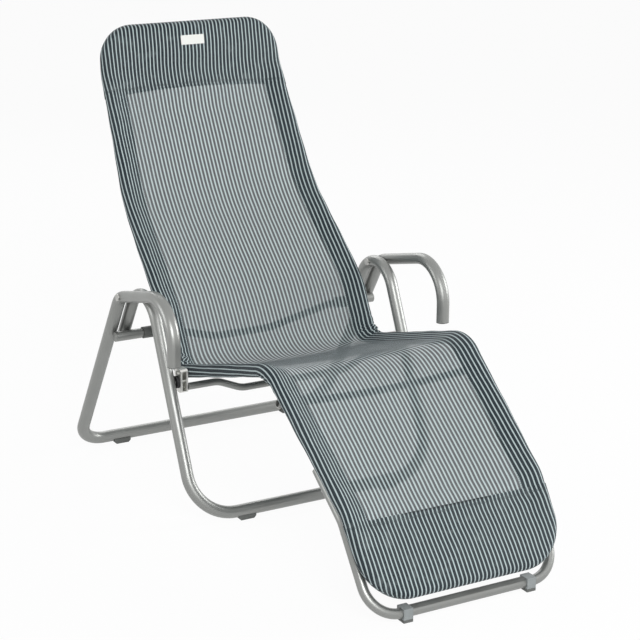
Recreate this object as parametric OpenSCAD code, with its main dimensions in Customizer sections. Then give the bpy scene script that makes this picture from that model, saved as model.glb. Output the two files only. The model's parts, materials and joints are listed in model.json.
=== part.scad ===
/* [Standing frames] */
// Height of the fold pivot above the floor
fold_h = 432; // [400:1:470]
// Distance between the centres of the two arm tubes
arm_span = 640; // [600:1:700]
// Step inwards from the rear frame's tube to the front frame's tube
frame_step = 34; // [32:0.5:38]
// Lean of the rear legs from upright, in degrees
rear_lean = 31.9; // [28:0.1:34]
// Lean of the front legs from upright, in degrees
front_lean = 24.7; // [22:0.1:27]
// Width of the rear frame's flat-sided tube across the chair
rear_tube_w = 28; // [26:0.5:30]
// Thickness of the rear frame's flat-sided tube
rear_tube_t = 24; // [22:0.5:26]
// Diameter of the front frame's round tube
front_tube_d = 26; // [22:0.5:28]
// Wall of all the frame tubes
tube_wall = 1.5; // [1:0.1:2]
// Radius of the rear frame's floor corners
rear_corner_r = 60; // [45:1:90]
// Radius of the front frame's floor corners
front_corner_r = 92; // [60:1:110]
/* [Arm rests] */
// Rise of the arm tube towards the front, in degrees
arm_rise = 14; // [8:0.5:18]
// Length of arm from the fold pivot to its front bend's corner
arm_len = 246; // [220:1:280]
// Radius of the arm's front bend
arm_bend_r = 82; // [50:1:90]
// Length of the arm's front drop, from the bend's corner to the open end
arm_drop = 143; // [120:1:160]
// Distance from the fold pivot back to the bend above the rear leg
arm_back = 22; // [21:0.5:30]
// Radius of the bend above the rear leg
back_bend_r = 50; // [35:1:51]
/* [Arch and stop] */
// Radius of the front frame's arch
arch_r = 70; // [55:1:75]
// Distance along the rear branch of the arch to the stop bar
stop_reach = 72; // [60:1:90]
// Length of branch past the stop bar
branch_over = 14; // [10:0.5:24]
// Diameter of the stop bar
stop_bar_d = 17; // [14:0.5:19]
// Diameter of the sockets that hold the stop bar
socket_d = 21.5; // [20:0.5:24]
// Length of socket that shows inside the rear legs
socket_len = 46; // [36:1:48]
// Depth of the stop bar's bow
stop_bow = 50; // [40:1:51]
// Slope of the stop bar's bow, in degrees
stop_slope = 20; // [20:0.5:26]
// Bend radius of the stop bar's bow
stop_bow_r = 60; // [40:1:70]
// Half of the stop bar's straight middle, as a share of the bar's reach
stop_flat_share = 0.183; // [0.12:0.001:0.22]
// Outer diameter of the bumpers
bumper_d = 25; // [23:0.5:28]
// Length of the bumpers
bumper_len = 31; // [24:1:36]
/* [Lounge] */
// Gap between the front frame's tube and the lounge frame's tube at its widest
lounge_gap = 22.5; // [21.5:0.5:30]
// Diameter of the lounge frame's tube
lounge_tube_d = 25; // [22:0.5:26]
// Height of the tilt pivot above the floor
tilt_h = 277; // [262:1:290]
// Distance from the tilt pivot back to the seat-back corner
corner_back = 60; // [50:1:70]
// Height of the seat-back corner above the tilt pivot
corner_up = 1; // [-2:0.5:8]
// Length of the foot part
foot_len = 160; // [140:1:180]
// Rise of the foot part, in degrees
foot_rise = 54; // [46:0.5:58]
// Length of the leg part
leg_len = 340; // [320:1:360]
// Rise of the leg part, in degrees
leg_rise = 36.3; // [32:0.1:40]
// Length of the seat
seat_len = 400; // [380:1:420]
// Fall of the seat towards the back, in degrees
seat_fall = 16.4; // [12:0.1:20]
// Length of the lumbar part
lumbar_len = 140; // [126:1:155]
// Rise of the lumbar part, in degrees
lumbar_rise = 61.5; // [58:0.5:66]
// Length of the back
back_len = 265; // [250:1:280]
// Rise of the back, in degrees
back_rise = 43; // [40:0.5:46]
// Length of the neck part
neck_len = 296; // [280:1:310]
// Rise of the neck part, in degrees
neck_rise = 61.5; // [58:0.5:66]
// Length of the head part
head_len = 90; // [84:1:100]
// Rise of the head part, in degrees
head_rise = 78; // [72:0.5:84]
// Radius of the frame's corners at the head
head_corner_r = 60; // [45:1:64]
// Radius of the frame's corners at the foot
foot_corner_r = 78; // [45:1:90]
/* [Bends of the lounge] */
// Bend from the foot part to the leg part
foot_bend_r = 80; // [60:1:100]
// Bend over the knee
knee_bend_r = 75; // [60:1:90]
// Bend at the seat-back corner
corner_bend_r = 45; // [40:1:60]
// Bend from the lumbar part to the back
lumbar_bend_r = 150; // [110:1:180]
// Bend from the back to the neck part
neck_bend_r = 250; // [200:1:300]
// Bend from the neck part to the head part
head_bend_r = 120; // [90:1:140]
/* [Carriers under the cloth] */
// Diameter of the cross tube under the seat and of the one under the knee
cross_tube_d = 15; // [12:0.5:16]
// Distance of the seat cross tube in front of the tilt pivot
seat_tube_ahead = 12; // [11:0.5:16]
// Distance of the seat cross tube below the tilt pivot
seat_tube_below = 9; // [9:0.5:14]
// Depth of the seat cross tube's dip
seat_tube_dip = 23; // [22:1:36]
// Slope of the seat cross tube's dip, in degrees
seat_tube_slope = 22.5; // [21:0.5:28]
// Bend radius of the seat cross tube's dip
seat_tube_r = 60; // [50:1:80]
// Half of the seat cross tube's straight middle, as a share of the tube's reach
seat_flat_share = 0.45; // [0.3:0.01:0.47]
// Bow of the knee cross tube
knee_tube_bow = 19; // [12:1:30]
// Depth of the side brackets, front to back
bracket_w = 30; // [26:1:36]
// Height of the side brackets
bracket_h = 50; // [46:1:56]
// Wall of the side brackets, which are open to the front
bracket_wall = 4; // [3:0.5:5]
// Thickness of the black spacers on the tilt pivots
spacer_t = 6.5; // [5:0.5:8]
// Diameter of the black spacers
spacer_d = 26; // [22:1:28]
/* [Foot loop] */
// Diameter of the foot loop's tube
loop_tube_d = 20; // [18:0.5:22]
// Step inwards from the lounge frame's widest place to the foot loop, centre to centre
loop_step = 30; // [24:1:43]
// Distance of the loop's tube below the lounge frame's tube, centre to centre
loop_drop = 30; // [26:0.5:33]
// Radius of the loop's corners
loop_corner_r = 62; // [50:1:70]
// Length of loop tube under the leg part
loop_upper = 110; // [90:1:130]
// Length of the clips along the bar
clip_len = 20; // [18:0.5:28]
// Depth and height of the clips
clip_depth = 25; // [24:0.5:30]
// Distance from the end of the loop's straight bar to the middle of each clip
clip_step = 8; // [7:1:30]
// Thickness of the rubber strip between the clips
strip_t = 2; // [2:0.5:4]
// Turn of the rubber strip from the top of the bar to its rear, in degrees
strip_turn = 12; // [0:1:30]
// Height of the strip's edges above the bar's middle, as a share of the bar's radius
strip_cut_share = 0.66; // [0.3:0.01:0.8]
/* [Feet and bolts] */
// Length of the floor pads along the bars
pad_len = 40; // [34:1:48]
// Depth of the floor pads
pad_depth = 22; // [18:1:24]
// Height of the floor pads below the bars
pad_h = 5; // [4:0.5:7]
// Distance from the end of the rear bar's straight to the middle of each pad
rear_pad_step = 43; // [21:1:80]
// Distance from the end of the front bar's straight to the middle of each pad
front_pad_step = 22; // [21:1:80]
// Diameter of the fold pivots' bolts
fold_bolt_d = 8; // [6:0.5:9]
// Diameter of the fold bolts' heads
fold_head_d = 15; // [13:0.5:18]
// Diameter of the tilt pivots' bolts
tilt_bolt_d = 8; // [6:0.5:9]
// Diameter of the tilt bolts' heads
tilt_head_d = 11; // [10:0.5:13]
/* [Cloth] */
// Thickness of the cloth
cloth_t = 1.2; // [0.8:0.1:1.6]
// Sag of the sling between the side tubes
sling_sag = 8; // [2:1:12]
// Length of the head pocket, to the end tube's centre
head_pocket_len = 139; // [120:1:150]
// Length of the foot pocket, to the end tube's centre
foot_pocket_len = 142; // [125:1:155]
// Width of the label tag
label_w = 57; // [40:1:64]
// Height of the label tag
label_h = 22; // [16:1:26]
// Thickness of the label tag
label_t = 0.6; // [0.4:0.1:1]
// Distance of the label tag's middle below the head's end tube
label_below = 26; // [20:1:40]
// Distance of the label tag's middle to the right
label_aside = 8; // [-20:1:20]
/* [Hidden] */
silver = [0.62, 0.62, 0.59];
dark = [0.2, 0.21, 0.22];
cloth = [0.45, 0.51, 0.51];
// Gap between pieces that sit on each other
seam = 0.3;
// Radial clearance of a bolt that turns
run_gap = 0.05;
// A bend's wall is thicker than its straights' by this much each way, and the straights reach into it
bead = 0.05;
$bead = 0;
tuck = 0.2;
// A run that goes on into a corner gets a tail that reaches into it
$tail = 0;
// Radial clearance of a screw that stays put
screw_gap = 0.1;
// Overrun of every cut
over = 2;
round_fn = 48;
bend_fn = 96;
// Places in the side view are [back from the fold pivot, up from the floor]
function ray(a) = [cos(a), sin(a)];
function side_of(a) = [-sin(a), cos(a)];
function total(list, last) = last < 0 ? 0 * list[0] : list[last] + total(list, last - 1);
// Rear frame
arm_half = arm_span / 2;
rear_bar_h = pad_h + rear_tube_t / 2 + (rear_tube_w - rear_tube_t) / 2 * cos(rear_lean);
rear_turn = 90 - rear_lean - arm_rise;
rear_top = [0, fold_h] + arm_back * ray(-arm_rise);
rear_cut = back_bend_r * tan(rear_turn / 2);
rear_leg = (rear_top[1] - rear_bar_h) / cos(rear_lean);
rear_bar_y = rear_top[0] + rear_leg * sin(rear_lean);
arm_turn = 90 + arm_rise;
arm_cut = arm_bend_r * tan(arm_turn / 2);
arm_end = [0, fold_h - arm_drop] + arm_len * ray(180 - arm_rise);
rear_runs = [
    [arm_drop - arm_cut, -arm_turn, arm_bend_r],
    [arm_len - arm_cut + arm_back - rear_cut, -rear_turn, back_bend_r],
    [rear_leg - rear_cut - rear_corner_r, 0, 0]
];
// Front frame
front_half = arm_half - frame_step;
lounge_half = front_half - (front_tube_d + lounge_tube_d) / 2 - lounge_gap;
loop_half = lounge_half - loop_step;
clip_reach = loop_half - loop_corner_r - clip_step;
rear_pad_reach = arm_half - rear_corner_r - rear_pad_step;
front_pad_reach = front_half - front_corner_r - front_pad_step;
front_bar_h = pad_h + front_tube_d / 2;
// The branch and the rear leg both lie against the back of the stop socket
back_normal = [cos(rear_lean), sin(rear_lean)];
leg_back = arm_back * cos(arm_rise + rear_lean);
branch_back = leg_back + (front_tube_d - rear_tube_t) / 2;
arch_lead = asin(1 - branch_back / arch_r) - rear_lean;
arch_centre = [0, fold_h] - arch_r * [sin(arch_lead), cos(arch_lead)];
front_leg_top = arch_centre + arch_r * [-cos(front_lean), sin(front_lean)];
front_leg = (front_leg_top[1] - front_bar_h) / cos(front_lean);
front_bar_y = front_leg_top[0] - front_leg * sin(front_lean);
// Stop bar, in front of the branches
branch_len = stop_reach + branch_over;
branch_top = arch_centre + arch_r * back_normal;
down_back = [sin(rear_lean), -cos(rear_lean)];
branch_end = branch_top + branch_len * down_back;
front_runs = [[branch_len, 180 - front_lean - rear_lean, arch_r], [front_leg - front_corner_r, 0, 0]];
stop_offset = front_tube_d / 2 + socket_d / 2 + seam;
stop_at = branch_top + stop_reach * down_back - stop_offset * back_normal;
socket_inner = arm_half - rear_tube_w / 2 - socket_len;
socket_outer = arm_half;
bumper_middle = lounge_half + over;
// Tilt pivot, on the front legs
tilt_at = [front_bar_y + (tilt_h - front_bar_h) * tan(front_lean), tilt_h];
// Side view of the lounge: parts from the foot to the head
lengths = [foot_len, leg_len, seat_len, lumbar_len, back_len, neck_len, head_len];
rises = [foot_rise, leg_rise, -seat_fall, lumbar_rise, back_rise, neck_rise, head_rise];
bends = [foot_bend_r, knee_bend_r, corner_bend_r, lumbar_bend_r, neck_bend_r, head_bend_r];
last_part = len(lengths) - 1;
last_bend = len(bends) - 1;
turns = [for (i = [0:last_bend]) rises[i + 1] - rises[i]];
cuts = [for (i = [0:last_bend]) bends[i] * tan(abs(turns[i]) / 2)];
parts = [for (i = [0:last_part]) lengths[i] * ray(rises[i])];
corner_at = tilt_at + [corner_back, corner_up];
foot_end = corner_at - total(parts, 2);
head_end = foot_end + total(parts, last_part);
// Each straight and each bend as [length, rise at its start, rise at its end]
function straight_len(i) = lengths[i] - (i > 0 ? cuts[i - 1] : 0) - (i < last_part ? cuts[i] : 0);
path_fn = 6;
line = [
    for (k = [0:2 * last_part])
        let (i = floor(k / 2))
        if (k % 2 == 0) [straight_len(i), rises[i], rises[i]]
        else
            for (j = [0:path_fn - 1])
                let (a = rises[i] + turns[i] * j / path_fn, b = rises[i] + turns[i] * (j + 1) / path_fn)
                [bends[i] * abs(turns[i]) * PI / 180 / path_fn, a, b]
];
last_step = len(line) - 1;
// A bend's chord is shorter than its arc
function chord(p) = p[1] == p[2] ? p[0] : p[0] * sin(abs(p[2] - p[1]) / 2) * 360 / PI / abs(p[2] - p[1]);
steps = [for (p = line) chord(p) * ray((p[1] + p[2]) / 2)];
runs_len = [for (p = line) p[0]];
marks = [for (i = [0:last_step + 1]) i == 0 ? 0 : total(runs_len, i - 1)];
spots = [for (i = [0:last_step + 1]) i == 0 ? foot_end : foot_end + total(steps, i - 1)];
headings = [for (i = [0:last_step + 1]) i == 0 ? line[0][1] : line[i - 1][2]];
back_table = [for (i = [0:last_step + 1]) [marks[i], spots[i][0]]];
up_table = [for (i = [0:last_step + 1]) [marks[i], spots[i][1]]];
rise_table = [for (i = [0:last_step + 1]) [marks[i], headings[i]]];
path_len = marks[last_step + 1];
// Half width along the lounge, as shares of its widest half
half_shares = [0.855, 0.885, 0.94, 0.992, 1, 0.94, 0.865, 0.845];
function bend_mark(i) = total([for (k = [0:i]) straight_len(k)], i)
    + (i > 0 ? total([for (k = [0:i - 1]) bends[k] * abs(turns[k]) * PI / 180], i - 1) : 0)
    + bends[i] * abs(turns[i]) * PI / 360;
half_table = [
    for (i = [0:last_part + 1])
        [i == 0 ? 0 : i == last_part + 1 ? path_len : bend_mark(i - 1), lounge_half * half_shares[i]]
];
// Past its ends the path runs on straight
function at(s) = let (c = min(max(s, 0), path_len)) [lookup(c, back_table), lookup(c, up_table)]
    + (s - c) * ray(lookup(c, rise_table));
function rise(s) = lookup(s, rise_table);
function half(s) = lookup(s, half_table);
// Point beside the path: x across, n up from the tube's centre line
function beside(s, x, n) = let (p = at(s) + n * side_of(rise(s))) [x, p[0], p[1]];
mid_y = (foot_end[0] + head_end[0]) / 2;
// Cloth around the tubes
tube_r = lounge_tube_d / 2;
sleeve_in = tube_r + 2 * seam;
sleeve_out = sleeve_in + cloth_t;
pocket_in = sleeve_in + 2 * seam;
pocket_out = pocket_in + cloth_t;
ring_fn = 12;
head_start = path_len - head_corner_r;
foot_start = foot_corner_r;
sling_from = foot_pocket_len + seam;
sling_to = path_len - head_pocket_len - seam;
// Tilt pivot, bracket and seat cross tube, across the chair
tilt_mark = bend_mark(2) - bends[2] * abs(turns[2]) * PI / 360 + cuts[2] - corner_back / cos(seat_fall);
bracket_in = half(tilt_mark + bracket_w / 2) + sleeve_out + seam;
spacer_out = front_half - front_tube_d / 2 - seam;
bracket_out = spacer_out - spacer_t;
seat_tube_at = tilt_at + [-seat_tube_ahead, -seat_tube_below];
screw_d = lounge_tube_d / 5;
screw_head_d = 2 * screw_d;
screw_head_t = screw_d / 2;
rail_at_bracket = at(tilt_mark);
bracket_low = tilt_h - bracket_h * 0.42;
// Knee cross tube, under the leg part just past the knee
knee_mark = foot_len + leg_len - cuts[0] - cuts[1] - cross_tube_d;
under_rail = sleeve_out + cross_tube_d / 2 + seam;
knee_tube_half = half(knee_mark) + cross_tube_d / 2;
knee_tube_r = (pow(knee_tube_half, 2) + pow(knee_tube_bow, 2)) / 2 / knee_tube_bow;
knee_screw_x = half(knee_mark);
knee_screw_drop = sqrt(pow(knee_tube_r, 2) - pow(knee_screw_x, 2)) - knee_tube_r + knee_tube_bow;
knee_tube_at = at(knee_mark) - (under_rail - knee_screw_drop) * side_of(rise(knee_mark));
// Foot loop
clip_foot_t = loop_tube_d * 0.3;
loop_bar_h = clip_foot_t + loop_tube_d / 2;
loop_line = foot_end - loop_drop * side_of(foot_rise);
loop_past = (loop_line[1] - loop_bar_h) / sin(foot_rise);
loop_bar = loop_line - loop_past * ray(foot_rise);
loop_bend_r = foot_bend_r - loop_drop;
loop_lower = loop_past + foot_len - cuts[0];
loop_runs = [[loop_upper, foot_rise - leg_rise, loop_bend_r], [loop_lower - loop_corner_r, 0, 0]];
loop_cut = loop_bend_r * tan((foot_rise - leg_rise) / 2);
loop_top = loop_bar + (loop_lower + loop_cut) * ray(foot_rise) + (loop_upper + loop_cut) * ray(leg_rise);
// A post ends at the pocket or at the sleeve, whichever covers the rail at its mark
function post_len(s) =
    loop_drop - (s < foot_pocket_len ? pocket_out : sleeve_out) - loop_tube_d / 2 - 2 * seam;
post_marks = [foot_len - 2 * cuts[0], foot_len + loop_upper * 0.75];
// Draws its children in the side view's plane, at a distance to the right
module side_plane(x = 0) translate([x, -mid_y, 0]) rotate([90, 0, 90]) children();
module in_place() translate([0, -mid_y, 0]) children();
module both_sides() for (s = [0, 1]) mirror([s, 0, 0]) children();
module one_side(right) mirror([right ? 0 : 1, 0, 0]) children();
// Sections are drawn with x in the bend's plane and y across it
module round_wall(d, wall) {
    difference() {
        circle(d = d + 2 * $bead, $fn = round_fn);
        circle(d = d - 2 * wall - 2 * $bead, $fn = round_fn);
    }
}
module flat_sided(w, t) {
    both_sides() translate([(w - t) / 2, 0]) circle(d = t, $fn = round_fn);
    square([w - t, t], center = true);
}
module flat_sided_wall(w, t, wall) {
    difference() {
        flat_sided(w + 2 * $bead, t + 2 * $bead);
        flat_sided(w - 2 * wall - 2 * $bead, t - 2 * wall - 2 * $bead);
    }
}
// A run of tube is a list of [straight length, turn, bend radius], drawn along x in the x-y plane
module bend(turn, r) {
    if (turn > 0)
        translate([0, r, 0]) rotate(-90)
            rotate_extrude(angle = turn, $fn = bend_fn) translate([r, 0]) children();
    else
        translate([0, -r, 0]) rotate(90 + turn) rotate_extrude(angle = -turn, $fn = bend_fn)
            translate([r, 0]) children();
}
module past_bend(turn, r) {
    s = turn < 0 ? -1 : 1;
    translate([r * sin(abs(turn)), s * r * (1 - cos(turn)), 0]) rotate(turn) children();
}
module run_tube(runs, k = 0) {
    if (k < len(runs)) {
        start = k > 0 ? tuck : 0;
        end = runs[k][1] == 0 ? $tail : tuck;
        if (runs[k][0] > 0) translate([-start, 0, 0]) rotate([90, 0, 90])
            linear_extrude(runs[k][0] + start + end) children();
        translate([runs[k][0], 0, 0]) {
            if (runs[k][1] != 0) bend(runs[k][1], runs[k][2], $bead = bead) children();
            past_bend(runs[k][1], runs[k][2]) run_tube(runs, k + 1) children();
        }
    }
}
module at_end(runs, k = 0) {
    if (k < len(runs))
        translate([runs[k][0], 0, 0]) past_bend(runs[k][1], runs[k][2]) at_end(runs, k + 1) children();
    else
        children();
}
// Straight ends, a slope down on each side and a straight middle, drawn along x and dipping to -y
function slope_len(dip, slope, r) = (dip - 2 * r * (1 - cos(slope))) / sin(slope);
function dip_run(dip, slope, r) = 2 * r * sin(slope) + slope_len(dip, slope, r) * cos(slope);
module dipped_tube(reach, flat, dip, slope, r) {
    end_len = reach - flat - dip_run(dip, slope, r);
    down = slope_len(dip, slope, r);
    translate([-reach, 0, 0]) run_tube([
        [end_len, -slope, r], [down, slope, r], [2 * flat, slope, r], [down, -slope, r], [end_len, 0, 0]
    ]) children();
}
module lying_cylinder(d, x0, x1) {
    translate([x0, 0, 0]) rotate([0, 90, 0]) cylinder(d = d, h = x1 - x0, $fn = round_fn);
}
// Surfaces made of rings of points
function ring_point(c, u, v, r, a) = c + r * cos(a) * u + r * sin(a) * v;
function quad(a, b, c, d) = [[a, b, c], [a, c, d]];
// Closed skin over rings of the same size, with a flat face at each end
module skin(rings) {
    n = len(rings[0]);
    m = len(rings);
    points = [for (r = rings) for (p = r) p];
    walls = [
        for (k = [0:m - 2])
            for (i = [0:n - 1])
                for (f = quad(k * n + i, k * n + (i + 1) % n, (k + 1) * n + (i + 1) % n, (k + 1) * n + i)) f
    ];
    first = [for (i = [0:n / 2 - 2]) for (f = quad(n - 1 - i, n - 2 - i, i + 1, i)) f];
    last = [for (f = first) [for (i = [2:-1:0]) (m - 1) * n + f[i]]];
    polyhedron(points, concat(walls, first, last), convexity = 8);
}
function side_ring(s, r) = let (n = side_of(rise(s))) [
    for (i = [0:ring_fn - 1])
        ring_point(beside(s, half(s), 0), [1, 0, 0], [0, n[0], n[1]], r, 360 * i / ring_fn)
];
// Marks along the path between two places: the bends' own steps and evenly set ones between
function marks_between(a, b) = concat([a], [for (m = marks) if (m > a + over && m < b - over) m], [b]);
// A tube's corners and end bar, in the plane of the path's end; d is measured along the path
function end_outline(reach, corner_r, bar) = concat(
    [for (a = [0:15:90]) [reach - corner_r + corner_r * cos(a), bar - corner_r + corner_r * sin(a), a]],
    [for (a = [90:15:180]) [-reach + corner_r + corner_r * cos(a), bar - corner_r + corner_r * sin(a), a]]
);
function bow_ring(p, origin, along, up, r) =
    let (c = origin + [p[0], 0, 0] + p[1] * along, out = [cos(p[2]), 0, 0] + sin(p[2]) * along)
    [for (i = [0:ring_fn - 1]) ring_point(c, out, up, r, 360 * i / ring_fn)];
module end_bow(s, reach, corner_r, to_end, sense) {
    u = ray(rise(s));
    n = side_of(rise(s));
    outline = end_outline(reach, corner_r, to_end);
    skin([for (p = outline) bow_ring(p, beside(s, 0, 0), sense * [0, u[0], u[1]], [0, n[0], n[1]], tube_r)]);
}
// A pocket is a flattened sock over the end bow: rings with round sides, narrowing round the corners
pocket_fn = 20;
function pocket_half(d, l, w, corner_r, r) =
    d < l - corner_r ? w + r : w - corner_r + sqrt(max(0, pow(corner_r + r, 2) - pow(d - l + corner_r, 2)));
function pocket_thick(d, l, r) = d < l ? r : sqrt(max(0, pow(r, 2) - pow(d - l, 2)));
function pocket_ring(s, a, b) = [
    for (i = [0:pocket_fn - 1])
        let (t = 360 * (i + 0.5) / pocket_fn, x = (cos(t) > 0 ? 1 : -1) * (a - b) + b * cos(t))
        beside(s, x, b * sin(t))
];
function pocket_depths(from, sense, l, corner_r, r, end_share) = concat(
    [0],
    [for (m = marks) let (d = (m - from) * sense) if (d > over && d < l - corner_r - over) d],
    [for (k = [0, 0.2, 0.38, 0.55, 0.7, 0.86, 1]) l - corner_r + corner_r * k],
    [for (k = [0.4, 0.7, 0.88, end_share]) l + r * k]
);
module pocket_solid(from, sense, l, corner_r, r, start, end_share) {
    depths = pocket_depths(from, sense, l, corner_r, r, end_share);
    rings = [
        for (k = [0:len(depths) - 1])
            let (d = depths[k], s = from + sense * d)
            pocket_ring(s - (k == 0 ? sense * start : 0),
                pocket_half(d, l, half(from + sense * min(d, l - corner_r)), corner_r, r),
                pocket_thick(d, l, r))
    ];
    skin(sense < 0 ? [for (k = [len(rings) - 1:-1:0]) rings[k]] : rings);
}
module pocket(from, sense, l, corner_r) {
    difference() {
        pocket_solid(from, sense, l, corner_r, pocket_out, 0, 0.97);
        pocket_solid(from, sense, l, corner_r, pocket_in, over, 0.985);
    }
}
module rear_frame() {
    reach = arm_half - rear_corner_r + tuck;
    color(silver)
    difference() {
        union() {
            both_sides() {
                rear_side() run_tube(rear_runs, $tail = tuck) rear_section();
                rear_side() at_end(rear_runs) corner(rear_corner_r) rear_section();
            }
            in_place() translate([-reach, rear_bar_y, rear_bar_h]) rotate([rear_lean, 0, 0])
                rotate([90, 0, 90]) linear_extrude(2 * reach) rear_section();
        }
        fold_bore();
    }
}
module rear_side() side_plane(arm_half) translate([arm_end[0], arm_end[1], 0]) rotate(90) children();
// A floor corner, from a leg's end to the bar
module corner(r) rotate([-90, 0, 0]) bend(90, r, $bead = bead) rotate(90) children();
module rear_section() rotate(90) flat_sided_wall(rear_tube_w, rear_tube_t, tube_wall);
module fold_bore() {
    in_place() translate([0, 0, fold_h])
        lying_cylinder(fold_bolt_d + 2 * run_gap, -arm_half - rear_tube_w, arm_half + rear_tube_w);
}
module stop_bar() {
    reach = socket_outer - tube_wall - seam;
    color(silver) in_place() translate([0, stop_at[0], stop_at[1]]) rotate([90 + rear_lean, 0, 0])
        dipped_tube(reach, stop_flat_share * reach, stop_bow, stop_slope, stop_bow_r)
            round_wall(stop_bar_d, tube_wall);
}
module stop_socket(right) {
    color(silver) one_side(right) in_place() translate([0, stop_at[0], stop_at[1]]) difference() {
        lying_cylinder(socket_d, socket_inner, socket_outer);
        lying_cylinder(stop_bar_d + 2 * screw_gap, socket_inner - over, socket_outer - tube_wall);
    }
}
module bumper(right) {
    color(dark) one_side(right) in_place() translate([0, stop_at[0], stop_at[1]]) difference() {
        lying_cylinder(bumper_d, bumper_middle - bumper_len / 2, bumper_middle + bumper_len / 2);
        lying_cylinder(stop_bar_d + 2 * screw_gap, bumper_middle - bumper_len, bumper_middle + bumper_len);
    }
}
module arm_plug(right) {
    color(dark) one_side(right) rear_side() rotate([90, 0, 90]) rotate(90) {
        translate([0, 0, -tube_wall]) linear_extrude(tube_wall) flat_sided(rear_tube_w, rear_tube_t);
        linear_extrude(rear_tube_t / 2)
            flat_sided(rear_tube_w - 2 * tube_wall - 2 * seam, rear_tube_t - 2 * tube_wall - 2 * seam);
    }
}
module branch_plug(right) {
    color(dark) one_side(right) front_side() rotate([90, 0, 90]) {
        translate([0, 0, -tube_wall]) cylinder(d = front_tube_d, h = tube_wall, $fn = round_fn);
        cylinder(d = front_tube_d - 2 * tube_wall - 2 * seam, h = front_tube_d / 2, $fn = round_fn);
    }
}
// A pad under a floor bar, with slanting ends and a hollow for the tube
module floor_pad(bar_y, bar_h, reach, tube_d) {
    color(dark) in_place() difference() {
        translate([reach, bar_y + pad_depth / 2, 0]) rotate([90, 0, 0]) linear_extrude(pad_depth) polygon([
            [-pad_len / 2 + pad_h, 0], [pad_len / 2 - pad_h, 0], [pad_len / 2, pad_h],
            [pad_len / 2, bar_h * 0.62], [-pad_len / 2, bar_h * 0.62], [-pad_len / 2, pad_h]
        ]);
        translate([0, bar_y, bar_h]) children();
    }
}
module rear_foot(right) {
    one_side(right) floor_pad(rear_bar_y, rear_bar_h, rear_pad_reach, rear_tube_t)
        rotate([rear_lean, 0, 0]) rotate([90, 0, 90])
            linear_extrude(arm_half) rotate(90) flat_sided(rear_tube_w + 2 * seam, rear_tube_t + 2 * seam);
}
module front_foot(right) {
    one_side(right) floor_pad(front_bar_y, front_bar_h, front_pad_reach, front_tube_d)
        lying_cylinder(front_tube_d + 2 * seam, 0, front_half);
}
module fold_bolt(right) {
    inner = front_half - front_tube_d / 2 - seam;
    outer = arm_half + rear_tube_w / 2 + seam;
    head_t = fold_bolt_d * 0.4;
    color(silver) one_side(right) in_place() translate([0, 0, fold_h]) {
        lying_cylinder(fold_bolt_d, inner, outer);
        lying_cylinder(fold_head_d, inner - head_t, inner);
        lying_cylinder(fold_head_d, outer, outer + head_t);
    }
}
module fold_washer(right) {
    color(dark) one_side(right) in_place() translate([0, 0, fold_h]) difference() {
        lying_cylinder(fold_head_d * 1.3,
            front_half + front_tube_d / 2 + seam, arm_half - rear_tube_w / 2 - seam);
        lying_cylinder(fold_bolt_d + 2 * run_gap, front_half, arm_half);
    }
}
module front_frame() {
    reach = front_half - front_corner_r + tuck;
    color(silver)
    difference() {
        union() {
            both_sides() {
                front_side() run_tube(front_runs, $tail = tuck) front_section();
                front_side() at_end(front_runs) corner(front_corner_r) front_section();
            }
            in_place() translate([-reach, front_bar_y, front_bar_h])
                rotate([90, 0, 90]) linear_extrude(2 * reach) front_section();
        }
        fold_bore();
        both_sides() in_place() translate([0, tilt_at[0], tilt_at[1]])
            lying_cylinder(tilt_bolt_d + 2 * run_gap, front_half - front_tube_d, front_half);
    }
}
module front_side() {
    side_plane(front_half) translate([branch_end[0], branch_end[1], 0]) rotate(90 + rear_lean) children();
}
module front_section() round_wall(front_tube_d, tube_wall);
module tilt_bolt(right) {
    color(dark) one_side(right) in_place() translate([0, tilt_at[0], tilt_at[1]]) {
        lying_cylinder(tilt_bolt_d, bracket_in - seam, front_half - tube_wall);
        lying_cylinder(tilt_head_d, bracket_in - seam - tilt_bolt_d * 0.45, bracket_in - seam);
    }
}
module tilt_spacer(right) {
    color(dark) one_side(right) in_place() translate([0, tilt_at[0], tilt_at[1]]) difference() {
        lying_cylinder(spacer_d, bracket_out + seam, spacer_out);
        lying_cylinder(tilt_bolt_d + 2 * run_gap, bracket_in, front_half);
    }
}
module side_tube(right) {
    places = marks_between(foot_start, head_start);
    color(silver) one_side(right) in_place() difference() {
        skin([for (s = places) side_ring(s, tube_r)]);
        skin([for (k = [0:len(places) - 1])
            side_ring(places[k] + (k == 0 ? -over : k == len(places) - 1 ? over : 0), tube_r - tube_wall)]);
    }
}
module head_tube() {
    color(silver) in_place() end_bow(head_start, half(head_start), head_corner_r, head_corner_r, 1);
}
module foot_tube() {
    color(silver) in_place() mirror([1, 0, 0])
        end_bow(foot_start, half(foot_start), foot_corner_r, foot_corner_r, -1);
}
// A plate with round corners, in the side view's plane
module round_plate(w, h, r) {
    square([w - 2 * r, h], center = true);
    square([w, h - 2 * r], center = true);
    for (x = [-1, 1]) for (y = [-1, 1])
        translate([x * (w / 2 - r), y * (h / 2 - r)]) circle(r = r, $fn = round_fn);
}
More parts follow.
